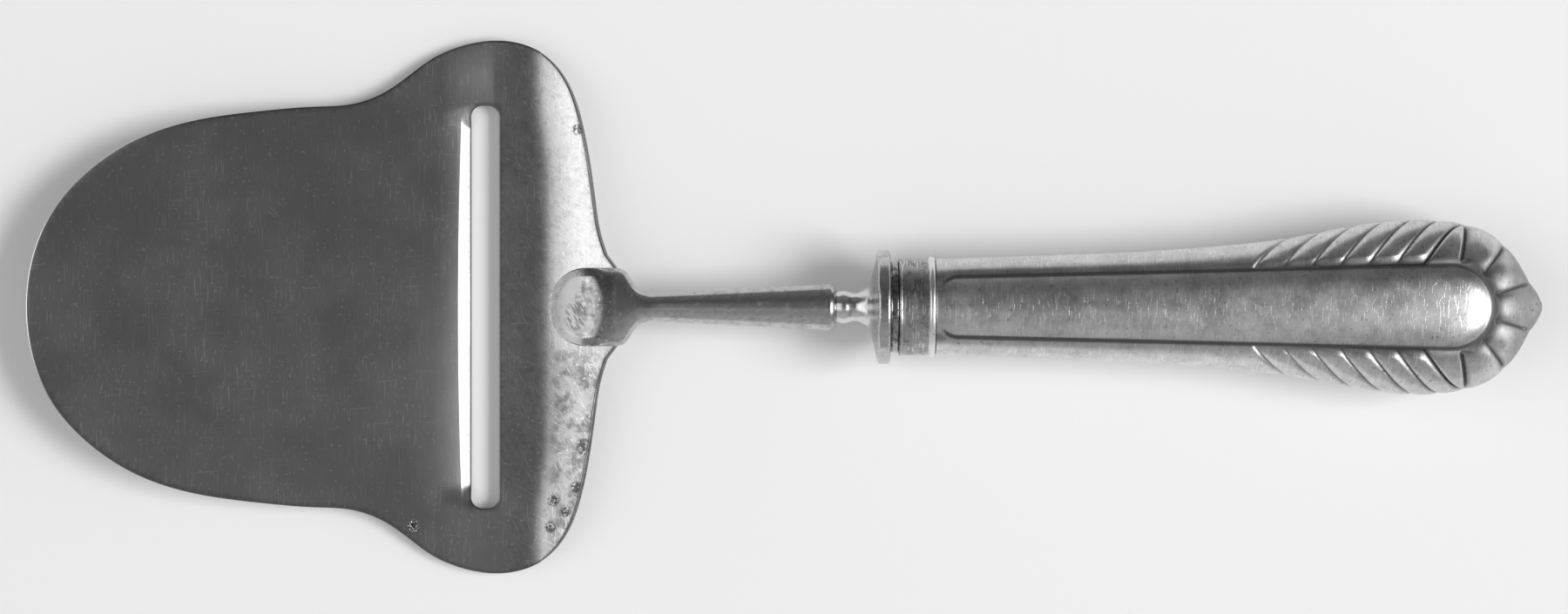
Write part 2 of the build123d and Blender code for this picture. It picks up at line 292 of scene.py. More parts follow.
def bevel_width(y):
    """Width of the ground bevel, which narrows towards the slot's ends."""
    return bevel_reach * (1 - bevel_bow_share * (y / half_slot) ** 2)


def plate_place(x, y, level):
    """Point of the plate over x and y, with level 0 on its underside and 1 on its top."""
    lip = smooth_step((half_slot - np.abs(y)) / lip_fade) * (x < slot_middle_x)
    low = lobe_height(x, y) * (1 - lip) + lip_height(x) * lip
    nudge = sheet / 50
    climb = (lobe_height(x + nudge, y) - lobe_height(x - nudge, y)) / (2 * nudge)
    lobe_thick = sheet * np.sqrt(1 + climb ** 2)
    lip_full = sheet * sqrt(1 + lip_slope ** 2)
    lip_thick = lip_full - grind_slope * np.clip(bevel_width(y) - edge_x + x, 0, None)
    upright = lobe_thick * (1 - lip) + lip_thick * lip

    # The cut is square to the sheet on the paddle and behind the slot
    square = np.clip((bend_x - x) / cut_fade, 0, 1) + (x > level_x)
    lean = -climb / np.sqrt(1 + climb ** 2) * sheet * square
    tall = upright * (1 - square) + sheet / np.sqrt(1 + climb ** 2) * square
    return np.stack([x + lean * level, y, low + tall * level], -1)


def blade_outline():
    """Upper half of the outline, from the tip to the rear corner beside the tongue."""
    side = [(tip_x + (rear_x - tip_x) * along, half_blade * out) for along, out in blade_shares]
    other_side = [(x, -y) for x, y in reversed(side)]
    points = smooth_line(other_side + [(tip_x, 0)] + side, 1101)[550:]
    points[:, 0] = np.clip(points[:, 0], tip_x, rear_x)
    points[:, 1] = np.clip(points[:, 1], 0, half_blade)
    points[0] = tip_x, 0
    corner_run = np.linspace(points[-1], (rear_x, half_tongue), 12)[1:]
    return np.concatenate([points, corner_run])


def inset_loop(loop, distance):
    """Closed loop of points, counter-clockwise, moved inwards."""
    ahead = np.roll(loop, -1, 0) - loop
    ahead /= np.linalg.norm(ahead, axis=1)[:, None]
    both = ahead + np.roll(ahead, 1, 0)
    both /= np.linalg.norm(both, axis=1)[:, None]
    return loop + distance * np.stack([-both[:, 1], both[:, 0]], -1)


def slot_loop():
    """Loop round the slot, clockwise, so that inwards is into the metal."""
    ends = []
    for sx, sy, first in ((1, 1, 90), (1, -1, 0), (-1, -1, -90), (-1, 1, 180)):
        middle_x = slot_middle_x + sx * (slot_width / 2 - slot_corner)
        middle_y = sy * (half_slot - slot_corner)
        for turn in np.radians(np.linspace(first, first - 90, 13)):
            ends.append((middle_x + slot_corner * cos(turn), middle_y + slot_corner * sin(turn)))
    loop = []
    for start, end in zip(ends, ends[1:] + ends[:1]):
        pieces = max(int(hypot(end[0] - start[0], end[1] - start[1]) / slot_step), 1)
        loop += [np.array(start) + (np.array(end) - np.array(start)) * k / pieces for k in range(pieces)]
    return np.array(loop)


def inner_points(rim):
    """Points inside the blade's rim, closer where the plate bends, and the line of the bevel."""
    lip_x, ground_x = bend_x - 0.0015, edge_x - 0.0022
    column_spans = [(tip_x + 0.0008, lip_x, 0.0012), (lip_x, ground_x, 0.00028),
                    (ground_x, wall_x, 0.00035), (wall_x, rear_x, 0.00042)]
    row_spans = [(-half_blade, -lobe_y, 0.00045), (-lobe_y, lobe_y, 0.0008), (lobe_y, half_blade, 0.00045)]
    columns, rows = (np.concatenate([np.arange(start, end, step) for start, end, step in spans])
                     for spans in (column_spans, row_spans))
    grid = np.stack(np.meshgrid(columns, rows), -1).reshape(-1, 2)
    crease_y = np.linspace(-half_slot + 0.0012, half_slot - 0.0012, 90)
    crease = np.stack([edge_x - bevel_width(crease_y), crease_y], -1)
    beside = np.abs(grid[:, 0] - edge_x + bevel_width(grid[:, 1])) < 1.5 * rim_round
    beside &= np.abs(grid[:, 1]) < half_slot

    top = rim[:len(rim) // 2][::-1]
    half = np.interp(grid[:, 0], top[:, 0], top[:, 1], left=-1, right=-1)
    room = 2 * rim_round + rim_guard
    in_slot = np.abs(grid[:, 0] - slot_middle_x) < slot_width / 2 + room
    in_slot &= np.abs(grid[:, 1]) < half_slot + room
    return crease, grid[(np.abs(grid[:, 1]) < half - rim_round) & ~in_slot & ~beside]


def metal_faces(flat, faces, rim):
    """Those of the triangles that lie in the metal, between the rim and the slot."""
    middle = flat[faces].mean(1)
    slot_x, slot_y = np.abs(middle[:, 0] - slot_middle_x), np.abs(middle[:, 1])
    room = rim_round + rim_guard
    round_x, round_y = slot_x - slot_width / 2 + slot_corner, slot_y - half_slot + slot_corner
    in_slot = (slot_x < slot_width / 2 + room) & (slot_y < half_slot + room)
    in_slot &= (round_x < 0) | (round_y < 0) | (np.hypot(round_x, round_y) < slot_corner + room)
    top = rim[:len(rim) // 2 + 1][::-1]
    half = np.interp(middle[:, 0], top[:, 0], top[:, 1])
    return faces[~in_slot & (slot_y < half) & (middle[:, 0] < rim[:, 0].max())]


def build_blade():
    """The blade: a sheet with a bent lip, a ground edge, a slot and a raised rear edge."""
    upper = blade_outline()
    outer = np.concatenate([upper[1:][::-1], upper[:1], upper[1:] * (1, -1)])
    slot = slot_loop()
    insets = [0, rim_round * rim_bow, rim_round, rim_round + rim_guard]
    loops = [[inset_loop(loop, inset) for inset in insets] for loop in (outer, slot)]
    rim = loops[0][-1]
    crease, grid = inner_points(rim)
    border = np.concatenate([rim, loops[1][-1]])
    count_outer, count_slot = len(outer), len(slot)
    edges = [(i, (i + 1) % count_outer) for i in range(count_outer)]
    edges += [(count_outer + i, count_outer + (i + 1) % count_slot) for i in range(count_slot)]
    edges += [(len(border) + i, len(border) + i + 1) for i in range(len(crease) - 1)]
    points = np.concatenate([border, crease, grid])
    flat, _, faces, *_ = geometry.delaunay_2d_cdt([Vector(p) for p in points], edges, [], 0, 1e-9)
    flat = np.array([(p.x, p.y) for p in flat])
    faces = metal_faces(flat, np.array(faces), rim)

    # Both skins over the same triangles, and rounded walls round both loops
    vertices = [plate_place(*flat.T, level) for level in (1.0, 0.0)]
    all_faces = [tuple(f) for f in faces] + [tuple(f[::-1] + len(flat)) for f in faces]
    total = 2 * len(flat)
    thin = rim_round / sheet
    levels = [(2, 1.0), (1, 1 - rim_bow * thin), (0, 1 - thin), (0, thin), (1, rim_bow * thin), (2, 0.0)]
    for kind, (first, count) in enumerate(((0, count_outer), (count_outer, count_slot))):
        rings = [np.arange(first, first + count)]
        for step, level in levels:
            vertices.append(plate_place(*loops[kind][step].T, level))
            rings.append(np.arange(total, total + count))
            total += count
        rings.append(np.arange(first, first + count) + len(flat))
        for high, low in zip(rings, rings[1:]):
            for i in range(count):
                after = (i + 1) % count
                all_faces.append((high[i], low[i], low[after], high[after]))
    piece = add_piece("blade", np.concatenate(vertices), all_faces)
    near = np.ones(total)
    near[:2 * len(flat)] = 0
    near[:len(border)] = near[len(flat):len(flat) + len(border)] = 0.5
    mark(piece, "border", near)
    turn_outwards(piece)
    sharpen_crease(piece)
    return piece


def sharpen_crease(piece):
    """Marks the line where the ground bevel starts as sharp."""
    mesh = piece.data
    place = np.array([v.co for v in mesh.vertices])
    on_line = np.abs(place[:, 0] - edge_x + bevel_width(place[:, 1])) < 0.00003
    on_line &= (np.abs(place[:, 1]) < half_slot - 0.001) & (place[:, 2] > lip_height(place[:, 0]) + sheet / 2)
    for edge in mesh.edges:
        if on_line[edge.vertices[0]] and on_line[edge.vertices[1]]:
            edge.use_edge_sharp = True


# Shank

def plate_top(x):
    """Top of the blade's raised rear part."""
    return slice_height + sheet + rear_rise(x - level_x + bend_lead, rear_radius)


def tongue_top(x, y):
    """Top of the tongue: a sloping facet inside a chamfer, then a level crown that rounds off."""
    x = np.minimum(x, rear_x)
    border = np.where(x < tongue_x + half_tongue, half_tongue - np.hypot(x - tongue_x - half_tongue, y),
                      half_tongue - np.abs(y))
    facet = plate_top(tongue_x) + tongue_step + (x - tongue_x) * facet_slope
    crown_z = plate_top(tongue_x) + tongue_step + facet_run * facet_slope
    heel_z = plate_top(rear_x) + heel_thickness
    crown = crown_z + (heel_z - crown_z) * (x - tongue_x - facet_run) / (rear_x - tongue_x - facet_run)
    roof = soft_min(facet, crown, facet_blend)
    chamfer = roof - rim_slope * np.clip(rim_width - border, 0, None)
    edge = plate_top(x) + 0.2 * tongue_step
    dome = edge + (roof - edge) * np.sqrt(np.clip(1 - (np.abs(y) / half_tongue) ** dome_power, 0, 1))
    rounded = smooth_step((x - tongue_x - facet_run) / (rear_x - tongue_x - facet_run))
    top = np.maximum(chamfer * (1 - rounded) + dome * rounded, edge + 0.5 * tongue_step * (1 - rounded))
    return top - 0.6 * edge_round * (1 - np.clip(border / edge_round, 0, 1)) ** 2


def build_shank():
    """The shank: a tongue that flares into a tapered stem, with its tang."""
    across = np.sin(np.linspace(pi / 2, -pi / 2, 45))
    top_turn = np.linspace(radians(14), radians(166), 45)
    low_turn = np.linspace(radians(194), radians(346), 31)
    under = np.linspace(-1, 1, 31)
    turns = np.concatenate([top_turn, [radians(173), radians(180), radians(187)], low_turn,
                            [radians(353), radians(360), radians(367)]])
    wall = np.array([0.75, 0.5, 0.25])

    def tongue_ring(x, half):
        y = across * half
        high = tongue_top(x, y)
        low = plate_top(min(x, rear_x))
        side = low + (high[0] - low) * wall
        ring_y = np.concatenate([y, [-half] * 3, under * half, [half] * 3])
        ring_z = np.concatenate([high, side, np.full(31, low), side[::-1]])
        return np.stack([np.full(len(ring_y), x), ring_y, ring_z], -1)

    rings = []
    for turn in np.linspace(0.02, 1, 44) * pi / 2:
        rings.append(tongue_ring(tongue_x + half_tongue * (1 - cos(turn)), half_tongue * sin(turn)))
    for x in np.linspace(tongue_x + half_tongue, rear_x, 16)[1:]:
        rings.append(tongue_ring(x, half_tongue))

    flare = smooth_line(flare_shares, 25)
    lean = (axis_z - neck_z) / stem_length
    for along, left in flare[1:]:
        x = rear_x + flare_length * along
        half = neck_radius + (half_tongue - neck_radius) * left
        ring = tongue_ring(x, half_tongue)
        rounded = smooth_step(along)
        ring[:, 1] = half * ((1 - rounded) * ring[:, 1] / half_tongue + rounded * np.cos(turns))
        ring[:, 2] = (1 - rounded) * ring[:, 2] + rounded * (neck_z + neck_radius * np.sin(turns))
        rings.append(ring)

    for x in np.linspace(neck_x, stem_end_x - shoulder_radius, 20)[1:]:
        share = (x - neck_x) / stem_length
        radius = neck_radius + (stem_radius - neck_radius) * share
        flatness = 1 + (stem_flatness - 1) * share
        rings.append(stem_ring(x, radius, neck_z + lean * (x - neck_x), turns, flatness))
    for turn in np.linspace(0, 1, 10)[1:] * pi / 2:
        x = stem_end_x - shoulder_radius * (1 - sin(turn))
        radius = stem_radius - shoulder_radius * (1 - cos(turn))
        rings.append(stem_ring(x, radius, neck_z + lean * (x - neck_x), turns, stem_flatness))
    for x in (stem_end_x, shank_high.x):
        rings.append(stem_ring(x, tang_radius, axis_z, turns))
    rings = np.array(rings)
    border = np.zeros(rings.shape[:2])
    top_count, side_count = len(top_turn), len(wall)
    border[:, [0, *range(top_count - 1, top_count + side_count), *range(-side_count, 0)]] = 1
    border *= 1 - smooth_step((rings[..., 0] - rear_x) / flare_length)
    return tube("shank_form", rings, radians(50), "border", border)


def stem_ring(x, radius, height, turns, flatness=1.0):
    """Round or slightly flattened ring across the stem."""
    return np.stack([np.full(len(turns), x), radius * np.cos(turns),
                     height + flatness * radius * np.sin(turns)], -1)


# Turned parts: a profile swept round the handle's axis by a node tree

def turned_tree():
    """Node tree that turns a profile round the axis, with its segments and its flatness as inputs."""
    tree = bpy.data.node_groups.new("turned", "GeometryNodeTree")
    for name, kind in (("Profile", "Geometry"), ("Segments", "Int"), ("Core", "Float"),
                       ("Flatness", "Float"), ("Height", "Float"), ("Finish", "Material")):
        tree.interface.new_socket(name, in_out="INPUT", socket_type="NodeSocket" + kind)
    tree.interface.new_socket("Turned", in_out="OUTPUT", socket_type="NodeSocketGeometry")
    form = Nodes(tree)
    given = form.add("NodeGroupInput").outputs
    circle = form.add("GeometryNodeCurvePrimitiveCircle", {"Resolution": given["Segments"],
                                                           "Radius": given["Core"]})
    sweep = form.add("GeometryNodeCurveToMesh", {"Curve": circle.outputs["Curve"],
                                                 "Profile Curve": given["Profile"]})
    upright = form.add("GeometryNodeTransform", {"Geometry": sweep.outputs["Mesh"],
                                                 "Rotation": (0, -pi / 2, 0)})
    flatten = form.add("ShaderNodeCombineXYZ", {"X": 1, "Y": 1, "Z": given["Flatness"]})
    lift = form.add("ShaderNodeCombineXYZ", {"Z": given["Height"]})
    place = form.add("GeometryNodeTransform", {"Geometry": upright.outputs["Geometry"],
                                               "Scale": flatten.outputs["Vector"],
                                               "Translation": lift.outputs["Vector"]})
    join = form.add("GeometryNodeMergeByDistance", {"Geometry": place.outputs["Geometry"],
                                                    "Distance": merge_gap})
    real = form.add("GeometryNodeRealizeInstances", {"Geometry": join.outputs["Geometry"]})
    paint = form.add("GeometryNodeSetMaterial", {"Geometry": real.outputs["Geometry"],
                                                 "Material": given["Finish"]})
    form.add("NodeGroupOutput", {"Turned": paint.outputs["Geometry"]})
    return tree


def turned_piece(name, profile, flatness, finish, tree):
    """A closed profile of (x, radius) points, turned by the tree into a plain mesh."""
    curve = bpy.data.curves.new(name + "_profile", "CURVE")
    curve.dimensions = "3D"
    line = curve.splines.new("POLY")
    line.points.add(len(profile) - 1)
    for point, (x, radius) in zip(line.points, profile):
        point.co = (radius - sweep_radius, x, 0, 1)
    line.use_cyclic_u = True
    source = bpy.data.objects.new(name + "_profile", curve)
    bpy.context.collection.objects.link(source)
    modifier = source.modifiers.new("turned", "NODES")
    modifier.node_group = tree
    sizes = {"Segments": round_steps, "Core": sweep_radius, "Flatness": flatness, "Height": axis_z,
             "Finish": finish}
    for item in tree.interface.items_tree:
        if item.in_out == "INPUT" and item.name in sizes:
            modifier[item.identifier] = sizes[item.name]
    bpy.context.view_layer.update()
    shown = source.evaluated_get(bpy.context.evaluated_depsgraph_get())
    mesh = bpy.data.meshes.new_from_object(shown)
    source.modifiers.remove(modifier)
    bpy.data.objects.remove(source)
    mesh.name = name
    piece = bpy.data.objects.new(name, mesh)
    bpy.context.collection.objects.link(piece)
    turn_outwards(piece)
    mesh.shade_smooth()
    mesh.set_sharp_from_angle(angle=radians(40))
    return piece


# Profiles of the turned parts: run from their front end, and radius
throat_profile = [(0, 0.00222), (0.0005, 0.00236), (0.00115, 0.00244), (0.0018, 0.00228),
                  (0.0024, 0.00208), (0.0030, 0.00212), (0.0036, 0.00238), (0.0041, 0.0027),
                  (0.0046, 0.00316), (0.00499, 0.00386), (0.00531, 0.00499), (0.00557, 0.00602),
                  (0.00577, 0.00704), (0.00588, 0.0076), (0.00602, 0.00808), (0.00622, 0.0083),
                  (0.0065, 0.00835), (0.0069, 0.00835), (0.0073, 0.00835), (0.00758, 0.0083),
                  (0.00775, 0.00812), (0.00783, 0.00785)]
boss_profile = [(0.0, 0.0061), (0.00012, 0.00638), (0.00035, 0.00658), (0.0008, 0.00665),
                (0.00125, 0.00662), (0.00138, 0.0064)]
ferrule_profile = [(0.0, 0.007), (0.00006, 0.00711), (0.00018, 0.00715), (0.00032, 0.00711),
                   (0.0004, 0.00703), (0.0008, 0.00702), (0.0024, 0.00701), (0.0037, 0.00702),
                   (0.0041, 0.00706), (0.0044, 0.00706)]
rim_profile = [(0.0, 0.00712), (0.0001, 0.00725), (0.00026, 0.00733), (0.00042, 0.00735),
               (0.00058, 0.00733), (0.00074, 0.00725), (0.00085, 0.00708)]
boss_x = ferrule_low.x - boss_profile[-1][0]
core_radius = 0.0011
band_wall = 0.0007
boss_flatness = 0.925
sweep_radius = 0.001
round_steps = 160


def ring_profile(first_x, points, inner_radius, count):
    """Closed profile: a smooth outer line over a straight inner one."""
    outer = smooth_line(points, count) + (first_x, 0)
    last_x = outer[-1][0]
    return [*map(tuple, outer), (last_x, inner_radius), (first_x, inner_radius)]


def build_turned_parts():
    """Bolster throat with its flange, boss, ferrule and rim wire."""
    tree = turned_tree()
    steel, silver = finishes["shank_steel"], finishes["handle_silver"]
    band_flatness = (ferrule_high.z - ferrule_low.z) / (ferrule_high.y - ferrule_low.y)
    throat = ring_profile(stem_end_x, throat_profile, core_radius, 160)
    boss = ring_profile(boss_x, boss_profile, core_radius, 40)
    band = ring_profile(ferrule_low.x, ferrule_profile, half_band - band_wall, 80)
    wire = ring_profile(rim_low.x, rim_profile, half_band - band_wall, 40)
    return [turned_piece("bolster_throat", throat, 1, steel, tree),
            turned_piece("bolster_boss", boss, boss_flatness, steel, tree),
            turned_piece("ferrule_band", band, band_flatness, silver, tree),
            turned_piece("rim_wire", wire, band_flatness, silver, tree)]


# Handle shells

half_band = ferrule_high.y
half_band_z = ferrule_high.z - axis_z
half_handle = shell_high.y
half_handle_z = shell_high.z - axis_z
shell_wall = 0.0011
least_bore = 0.05
plain_step = 0.0004
ornament_step = 0.00016
neck_inset = 0.00075
neck_wall = 0.0008
panel_setback = 0.0008
panel_length = 0.080
panel_front_half = 0.0045
panel_back_half = 0.0062
panel_corner = 0.0024
panel_raise = 0.00012
groove_depth = 0.00028
groove_spread = 0.0006
panel_roll = 0.0013
shade_and_tarnish_spread = 0.0019
lobe_count = 6
lobe_start = 0.0485
lobe_run = 0.0243
lobe_middle = 0.0035
lobe_slant = tan(radians(35))
lobe_depths = (0.0004, 0.0007)
fan_first = radians(16)
fan_pitch = radians(30)
fan_petals = 2
fan_depth = 0.0007
crease_spread = 0.0004
lobe_gap = 0.0002
lobe_rise = 0.0016
petal_gap = 0.0001
petal_rise = 0.0012
seam_run = 0.002
seam_fill = 0.45
butt_seam_run = 0.0028
line_share = 0.75
roll_tone, end_tone = 0.38, 0.4
butt_tone, lobe_tone, corner_shade_tone = 0.5, 0.22, 0.62

panel_x = handle_x + panel_setback
panel_end_x = panel_x + panel_length


def handle_side():
    """Dense points of the handle's side: place, half width and half thickness."""
    length = butt_x - handle_x
    points = [(handle_x + length * along, half_band + (half_handle - half_band) * grown,
               half_band_z + (half_handle_z - half_band_z) * grown) for along, grown in growth_shares]
    points += [(handle_x + length * along, half_handle * left, half_handle_z * left)
               for along, left in butt_shares]
    return smooth_line(points, 3000)


def panel_distance(x, y):
    """Distance from the raised panel's outline, seen from above, negative on the panel."""
    out = np.abs(y)
    end_x = panel_end_x - panel_back_half
    share = np.clip((x - panel_x) / (end_x - panel_x), 0, 1)
    half = panel_front_half + (panel_back_half - panel_front_half) * share
    to_side = out - half
    to_end = np.hypot(x - end_x, out) - panel_back_half
    over_x = panel_x + panel_corner - x
    over_y = out - half + panel_corner
    to_front = np.hypot(np.clip(over_x, 0, None), np.clip(over_y, 0, None)) - panel_corner
    to_front += np.clip(np.maximum(over_x, over_y), None, 0)
    return np.where(x > end_x, to_end, np.where(x < panel_x + panel_corner, to_front, to_side))


def bead(share):
    """Round ridge between two creases, from share 0 to share 1."""
    return (1 - np.abs(2 * share - 1) ** 2.2) ** 0.55


def ornament(x, y, from_panel, to_seam):
    """Depth below the smooth handle at each point, and how much tarnish and painted shade lie there."""
    away = panel_distance(x, y)
    front = (x < panel_x + panel_corner) * smooth_step((panel_front_half - np.abs(y)) / panel_corner)
    spread = np.where(away < 0, panel_roll, groove_spread)
    groove = groove_depth * (1 - 0.85 * front) * np.exp(-(away / spread) ** 2)
    rail = panel_raise * smooth_step((away + panel_roll) / (2 * panel_roll))

    # Slanted lobes along both rails
    pitch = lobe_run / lobe_count
    phase = (x - handle_x - lobe_start - lobe_slant * (from_panel - lobe_middle)) / pitch
    inner = np.clip(phase, 0, lobe_count)
    ridge = bead(inner - np.floor(np.clip(inner, 0, lobe_count - 1e-9)))
    outside = np.abs(phase - inner) * pitch
    ridge = np.where(outside > 0, 1 - np.exp(-(outside / crease_spread) ** 2), ridge)
    ridge = ridge + (1 - ridge) * seam_fill * smooth_step((seam_run - to_seam) / seam_run)
    start = smooth_step((from_panel - lobe_gap) / lobe_rise)
    on_lobes = (phase > 0) & (phase < lobe_count)
    ridge = np.where(on_lobes, ridge * start, ridge)
    depth = lobe_depths[0] + (lobe_depths[1] - lobe_depths[0]) * inner / lobe_count
    lobes = depth * (1 - ridge) * (from_panel > 0) * smooth_step(from_panel / 0.0003)

    # Petals round the panel's end: one in the middle and two on either side
    end_x = panel_end_x - panel_back_half
    turn = np.abs(np.arctan2(y, x - end_x))
    last = fan_first + fan_petals * fan_pitch
    share = np.where(turn < fan_first, 0.5 + turn / (2 * fan_first), (turn - fan_first) / fan_pitch)
    petal = bead(share - np.floor(share))
    past = np.clip(turn - last, 0, pi / 2) * np.hypot(x - end_x, y)
    petal = np.where(past > 0, 1 - np.exp(-(past / crease_spread) ** 2), petal)
    fan = fan_depth * (1 - petal) * smooth_step((away - petal_gap) / petal_rise)
    fan *= 0.3 + 0.7 * smooth_step(to_seam / butt_seam_run)

    # Tarnish and painted shade lie in the panel's line, beside it, in the grooves and towards the butt, and
    # painted shade in the front corners
    valley = (1 - 0.8 * front) * np.exp(-(away / (line_share * groove_spread)) ** 2)
    at_end = smooth_step((x - end_x) / panel_back_half) * (away > 0)
    shade_and_tarnish = (roll_tone + end_tone * at_end) * np.exp(-(away / shade_and_tarnish_spread) ** 2)
    at_butt = butt_tone * smooth_step((x - panel_end_x) / (0.5 * (butt_x - panel_end_x)))
    on_rail = lobe_tone * smooth_step((x - handle_x - lobe_start) / lobe_run) * (away > 0)
    # Painted shade in the panel's front corners
    corner = corner_shade_tone * np.exp(-((np.abs(y) - panel_front_half) / groove_spread / 2) ** 2)
    corner *= smooth_step((panel_x + panel_corner - x) / panel_corner)
    grooves = np.maximum(lobes, fan)
    recess = np.maximum.reduce([valley, shade_and_tarnish + np.maximum(at_butt, on_rail), grooves / fan_depth, corner])
    return np.maximum(groove, grooves) + rail, np.clip(recess, 0, 1)


def build_shells():
    """Upper handle shell with its relief, and the lower one as its mirror."""
    side = handle_side()
    ornament_x = handle_x + lobe_start - 0.006
    places = np.concatenate([handle_x + np.array([0, 0.00006, 0.00014, 0.00026]),
                             np.arange(handle_x + 0.0005, ornament_x, plain_step),
                             np.arange(ornament_x, butt_x - 0.0006, ornament_step),
                             butt_x - np.array([0.0005, 0.0003, 0.00015, 0])])
    # The front edge is rounded over its first three places
    front_round = np.zeros(len(places))
    front_round[:3] = 0.00026, 0.00012, 0.00004
    around, around_inner = 193, 13
    turns = np.linspace(0, pi, around)
    half = np.interp(places, side[:, 0], side[:, 1]) - front_round
    thick = np.interp(places, side[:, 0], side[:, 2]) - front_round
    x = np.repeat(places[:, None], around, 1)
    y = half[:, None] * np.cos(turns)
    z = thick[:, None] * np.sin(turns)

    # Distance round the handle from the panel's edge, and from the seam
    run = np.hypot(np.diff(y, axis=1), np.diff(z, axis=1))
    from_seam = np.concatenate([np.zeros((len(places), 1)), np.cumsum(run, 1)], 1)
    to_seam = np.minimum(from_seam, from_seam[:, -1:] - from_seam)
    from_panel = np.zeros(x.shape)
    middle = around // 2
    for i, place in enumerate(places):
        away = panel_distance(x[i, :middle + 1], y[i, :middle + 1])
        edge = np.interp(0, -away, from_seam[i, :middle + 1]) if away[-1] < 0 else from_seam[i, middle]
        from_panel[i] = edge - to_seam[i]

    surface = np.stack([x, y, z], -1)
    along = np.gradient(surface, axis=0)
    across = np.gradient(surface, axis=1)
    outward = np.cross(across, along)
    outward /= np.linalg.norm(outward, axis=2)[..., None] + 1e-12
    outward *= np.sign(np.sum(outward * surface * (0, 1, 1), -1) + 1e-12)[..., None]
    cut, recess = ornament(x, y, from_panel, to_seam)
    room = smooth_step((butt_x - x) / 0.002)
    surface = surface - outward * (cut * room)[..., None]
    surface[:, 0, 2] = surface[:, -1, 2] = 0
    surface[..., 0] = np.clip(surface[..., 0], handle_x, butt_x)
    surface[..., 2] = np.clip(surface[..., 2], 0, half_handle_z) + axis_z

    inner_turns = np.linspace(pi, 0, around_inner)

    def inner_arc(place, wide, tall):
        return np.stack([np.full(around_inner, place), wide * np.cos(inner_turns),
                         axis_z + tall * np.sin(inner_turns)], -1)

    # Bore of the neck, which widens behind the ferrule as the shell does
    neck_y = half_band - neck_inset - neck_wall
    neck_tall = half_band_z - neck_inset - neck_wall
    rings = []
    for place in (ferrule_low.x, handle_x):
        outer = np.stack([np.full(around, place), (half_band - neck_inset) * np.cos(turns),
                          axis_z + (half_band_z - neck_inset) * np.sin(turns)], -1)
        rings.append(np.concatenate([outer, inner_arc(place, neck_y, neck_tall)]))
    widened = smooth_step((places - handle_x) / 0.001)
    for i, place in enumerate(places):
        wide, tall = (max(size - shell_wall, size * least_bore) for size in (half[i], thick[i]))
        wide = neck_y + (wide - neck_y) * widened[i] if wide > neck_y else wide
        tall = neck_tall + (tall - neck_tall) * widened[i] if tall > neck_tall else tall
        rings.append(np.concatenate([surface[i], inner_arc(place, wide, tall)]))
    rings = np.array(rings)
    marks = np.zeros(rings.shape[:2])
    marks[2:, :around] = recess

    pieces = []
    for name, side_z in (("shell_upper", 1), ("shell_lower", -1)):
        placed = rings.copy()
        placed[..., 2] = axis_z + (placed[..., 2] - axis_z) * side_z
        pieces.append(tube(name, placed, radians(80), "recess", marks))
    return pieces


# Finishes

# Places of single marks: weld and its shine, pits, a painted sheen on a lobe and a scuff
weld_mark = (-0.0305, -0.0013, 0.0068)
weld_shine = (-0.0288, -0.0024, 0.0080)
pit_cluster = (-0.0294, -0.0206, 0.0042)
pit_places = [(-0.0343, -0.0325, 0.0028), (-0.0320, -0.0302, 0.0034), (-0.0339, -0.0286, 0.0028),
              (-0.0306, -0.0266, 0.0038), (-0.0303, 0.0262, 0.0038), (-0.0546, -0.0324, 0.0024)]
painted_sheen_place = (-0.0448, 0.0335, 0.0030)
scuff_place = (-0.0747, 0.0144, 0.0044)


